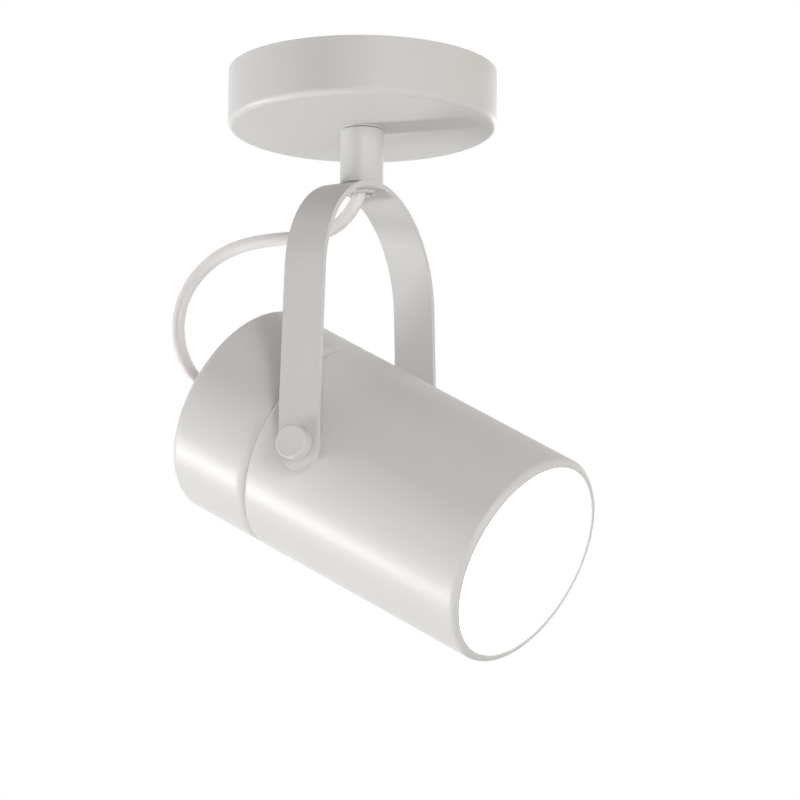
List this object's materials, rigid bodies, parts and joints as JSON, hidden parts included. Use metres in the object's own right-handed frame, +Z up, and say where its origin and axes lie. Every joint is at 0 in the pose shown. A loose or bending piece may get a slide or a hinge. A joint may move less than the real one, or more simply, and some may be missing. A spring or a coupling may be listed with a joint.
{
  "type": "ceiling spotlight",
  "caption": "Ceiling spotlight with a cylindrical tilting head in a bent strap yoke that swivels under a round canopy, fed by a looped flex.",
  "frame": {"origin": "centre of the canopy's rim plane, the face that lies on the ceiling", "axes": "+Z up into the ceiling, +X the side the head points to, Y along the tilt axis"},
  "size_m": [0.2039, 0.121, 0.271],
  "materials": {
    "white_paint": "satin white powder coat",
    "white_aluminium": "satin white powder coat on cast aluminium",
    "zinc_steel": "zinc plated",
    "brass": "plain turned",
    "nylon": "moulded nylon",
    "dark_nylon": "moulded nylon",
    "white_flex": "soft white cable sheath",
    "core_insulation": "cable core insulation",
    "opal_lit": "opal diffusing panel, lit",
    "silicone": "soft, matt",
    "aluminium": "bright bare metal",
    "board_white": "white lacquered board",
    "led_lit": "lit phosphor",
    "driver_case": "moulded plastic case"
  },
  "bodies": {
    "canopy": {"ceiling_plate": "zinc_steel", "canopy_cover": "white_paint", "canopy_lugs": "white_paint", "terminal_block": "nylon", "terminal_tubes": "brass", "terminal_screws": "zinc_steel", "clamp_base": "nylon", "clamp_strap": "nylon", "plate_screws": "zinc_steel", "earth_screw": "brass", "canopy_flex": "white_flex", "canopy_cores": "core_insulation", "nipple": "zinc_steel", "nipple_nut": "zinc_steel", "collar": "white_paint", "stop_pin": "zinc_steel", "swivel_washer": "dark_nylon", "wave_washer": "zinc_steel", "swivel_nut": "zinc_steel"},
    "yoke": {"stem": "white_paint", "friction_washer": "nylon", "stem_plug": "zinc_steel", "yoke": "white_paint", "cable_bush": "white_paint", "flex_loop": "white_flex"},
    "head": {"head_tube": "white_aluminium", "rear_cap": "white_aluminium", "near_spacer": "white_aluminium", "far_spacer": "white_aluminium", "board_screws": "zinc_steel", "snap_ring": "zinc_steel", "driver_plate": "zinc_steel", "driver_screws": "zinc_steel", "tie_screws": "zinc_steel", "near_boss": "zinc_steel", "far_boss": "zinc_steel", "rear_standoffs": "brass", "front_standoffs": "brass", "flex_stop": "nylon", "near_washer": "nylon", "far_washer": "nylon", "head_flex": "white_flex", "driver_cores": "core_insulation", "led_leads": "core_insulation", "light_panel": "opal_lit", "panel_gasket": "silicone", "cable_boot": "silicone", "reflector": "aluminium", "heat_sink": "aluminium", "led_board": "board_white", "led_packages": "led_lit", "driver": "driver_case"},
    "knob_near": {"near_knob": "white_paint", "near_stud": "zinc_steel", "near_spring_washer": "zinc_steel"},
    "knob_far": {"far_knob": "white_paint", "far_stud": "zinc_steel", "far_spring_washer": "zinc_steel"}
  },
  "joints": [
    {"name": "pan", "type": "hinge", "parent": "canopy", "child": "yoke", "pos_m": [0, 0, 0], "axis": [0, 0, 1], "range_deg": [-165, 165]},
    {"name": "tilt", "type": "hinge", "parent": "yoke", "child": "head", "pos_m": [0, 0, -0.1803], "axis": [0, 1, 0], "range_deg": [-30, 60], "deforming": ["flex_loop"]},
    {"name": "knob_near_turn", "type": "hinge", "parent": "head", "child": "knob_near", "pos_m": [0, -0.06, -0.1803], "axis": [0, -1, 0], "range_deg": [0, 360]},
    {"name": "knob_far_turn", "type": "hinge", "parent": "head", "child": "knob_far", "pos_m": [0, 0.06, -0.1803], "axis": [0, 1, 0], "range_deg": [0, 360]}
  ]
}
